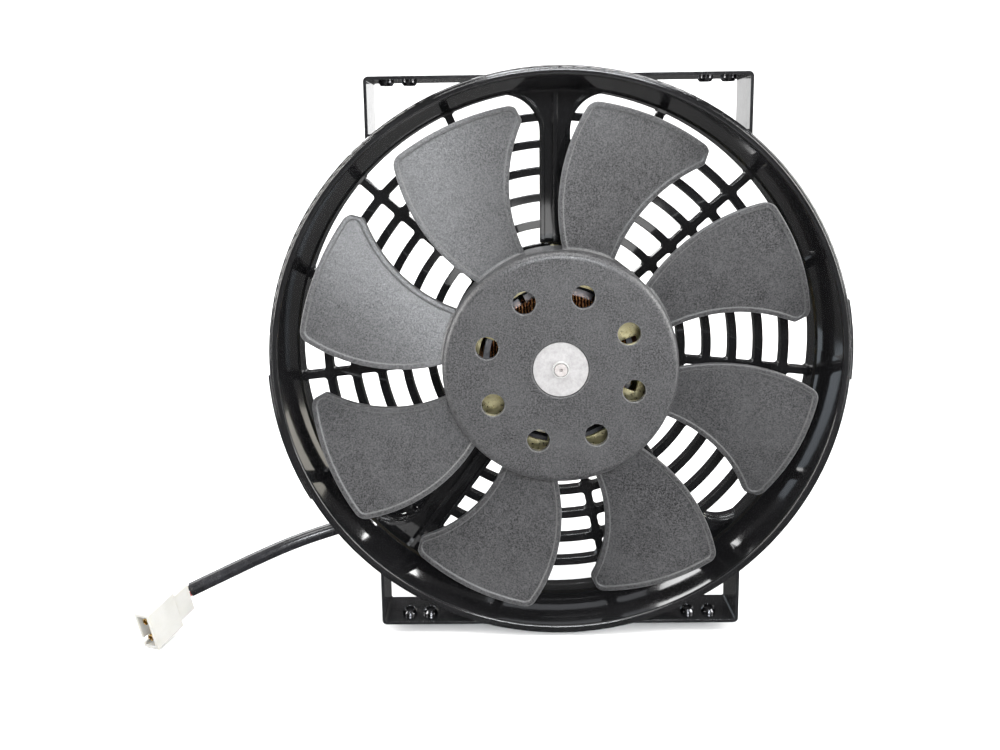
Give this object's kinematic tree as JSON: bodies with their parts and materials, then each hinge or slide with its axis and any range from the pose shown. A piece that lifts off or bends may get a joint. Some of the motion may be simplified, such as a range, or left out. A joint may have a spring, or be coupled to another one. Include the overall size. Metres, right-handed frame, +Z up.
{
  "type": "axial cooling fan unit",
  "caption": "Electric axial fan of an oil cooler: round ring with a guard, curved-blade impeller on a hub motor, bent strip brackets above and below, and a cable with a plug.",
  "frame": {"origin": "on the fan axis, in the rear plane of the ring", "axes": "+Y to the rear towards the cooler (air side behind), -Y to the front, +X right seen from the front, +Z up"},
  "size_m": [0.3442, 0.0572, 0.2753],
  "materials": {
    "shroud_plastic": "glossy black moulded",
    "impeller_plastic": "grained charcoal moulded",
    "bracket_paint": "gloss black coated strip steel",
    "black_steel": "black coated",
    "zinc_steel": "yellow zinc plated",
    "bright_steel": "bright",
    "sintered_bronze": "sintered",
    "ferrite": "matt dark",
    "card_phenolic": "brown laminate",
    "carbon": "matt carbon",
    "copper": "enamelled copper",
    "lamination": "stacked sheet",
    "red_insulation": "satin red",
    "cable_sheath": "satin black-grey",
    "boot_rubber": "matt",
    "clip_plastic": "satin black",
    "connector_nylon": "ivory translucent",
    "terminal_brass": "tin flashed"
  },
  "bodies": {
    "housing": {"shroud_ring": "shroud_plastic", "guard_grille": "shroud_plastic", "strut_ribs": "shroud_plastic", "motor_rear_cap": "zinc_steel", "rear_bearing": "sintered_bronze", "motor_can": "zinc_steel", "front_bearing": "sintered_bronze", "field_magnets": "ferrite", "brush_card": "card_phenolic", "brushes": "carbon", "brush_springs": "bright_steel", "motor_screws": "bright_steel", "motor_nuts": "bright_steel", "lead_red": "red_insulation", "lead_black": "cable_sheath", "cable_boot": "boot_rubber", "bracket_top": "bracket_paint", "bracket_bottom": "bracket_paint", "bracket_screws": "black_steel", "clinch_nuts": "black_steel", "cable_guided_run": "cable_sheath", "cable_clip": "clip_plastic", "power_cable": "cable_sheath", "core_red": "red_insulation", "core_black": "cable_sheath", "connector_housing": "connector_nylon", "connector_terminals": "terminal_brass"},
    "rotor": {"impeller": "impeller_plastic", "hub_insert": "bright_steel", "motor_shaft": "bright_steel", "shaft_retainer": "bright_steel", "commutator": "copper", "thrust_washer": "card_phenolic", "armature_core": "lamination", "armature_windings": "copper"}
  },
  "joints": [
    {"name": "impeller_spin", "type": "hinge", "parent": "housing", "child": "rotor", "pos_m": [0, 0, 0], "axis": [0, 1, 0], "continuous": true}
  ]
}
